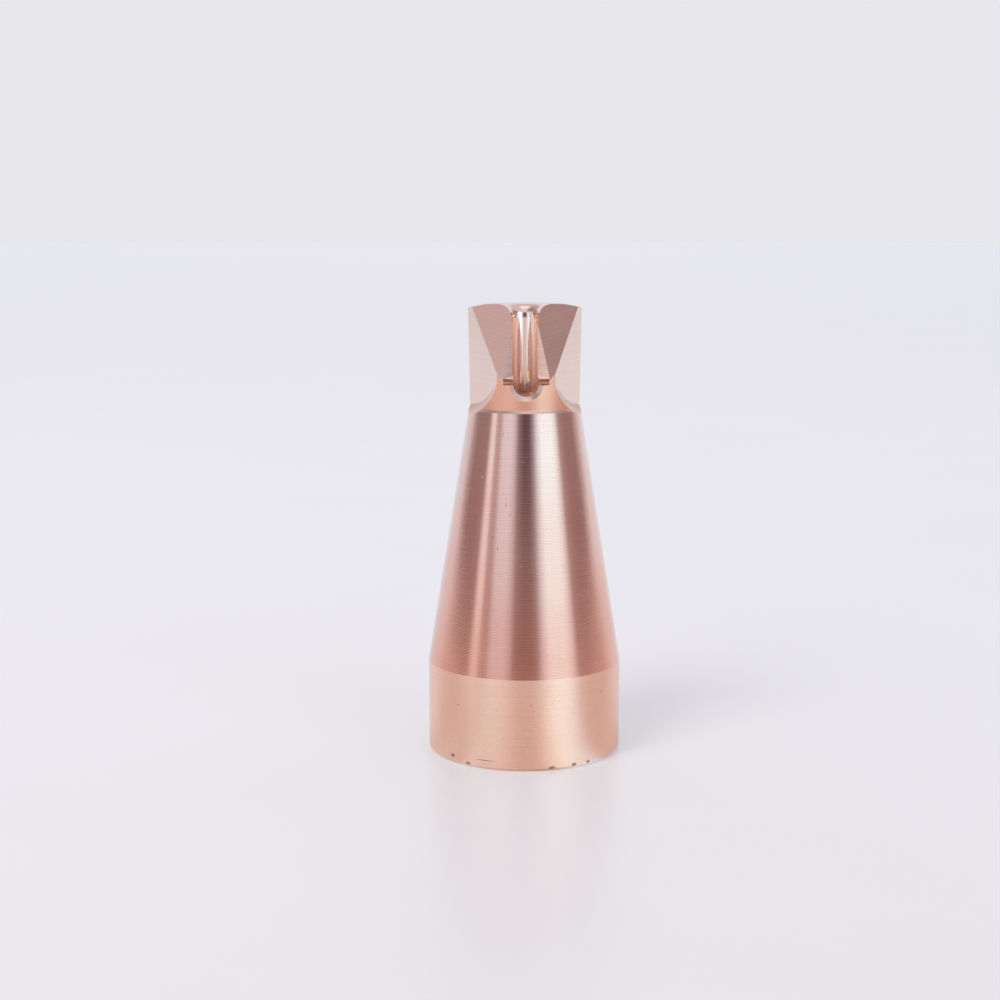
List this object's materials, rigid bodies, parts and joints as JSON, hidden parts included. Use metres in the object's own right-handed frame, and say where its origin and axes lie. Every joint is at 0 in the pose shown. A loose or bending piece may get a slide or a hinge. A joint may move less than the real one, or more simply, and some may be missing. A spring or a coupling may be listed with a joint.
{
  "type": "laser welding nozzle",
  "caption": "Turned copper nozzle with a cylindrical threaded base, a long cone and a milled tip: side flats, a wide V notch and a wire slot open into the bore.",
  "frame": {"origin": "centre of the open threaded end's face, on the nozzle's axis", "axes": "+Z along the axis towards the tip, -Y through the wire slot at the front, +X to the right seen from the front"},
  "size_m": [0.018, 0.018, 0.0417],
  "materials": {
    "copper": "bare copper, fine turning marks outside, milling marks on the tip's faces"
  },
  "bodies": {
    "root": {"welding_nozzle": "copper"}
  },
  "joints": []
}
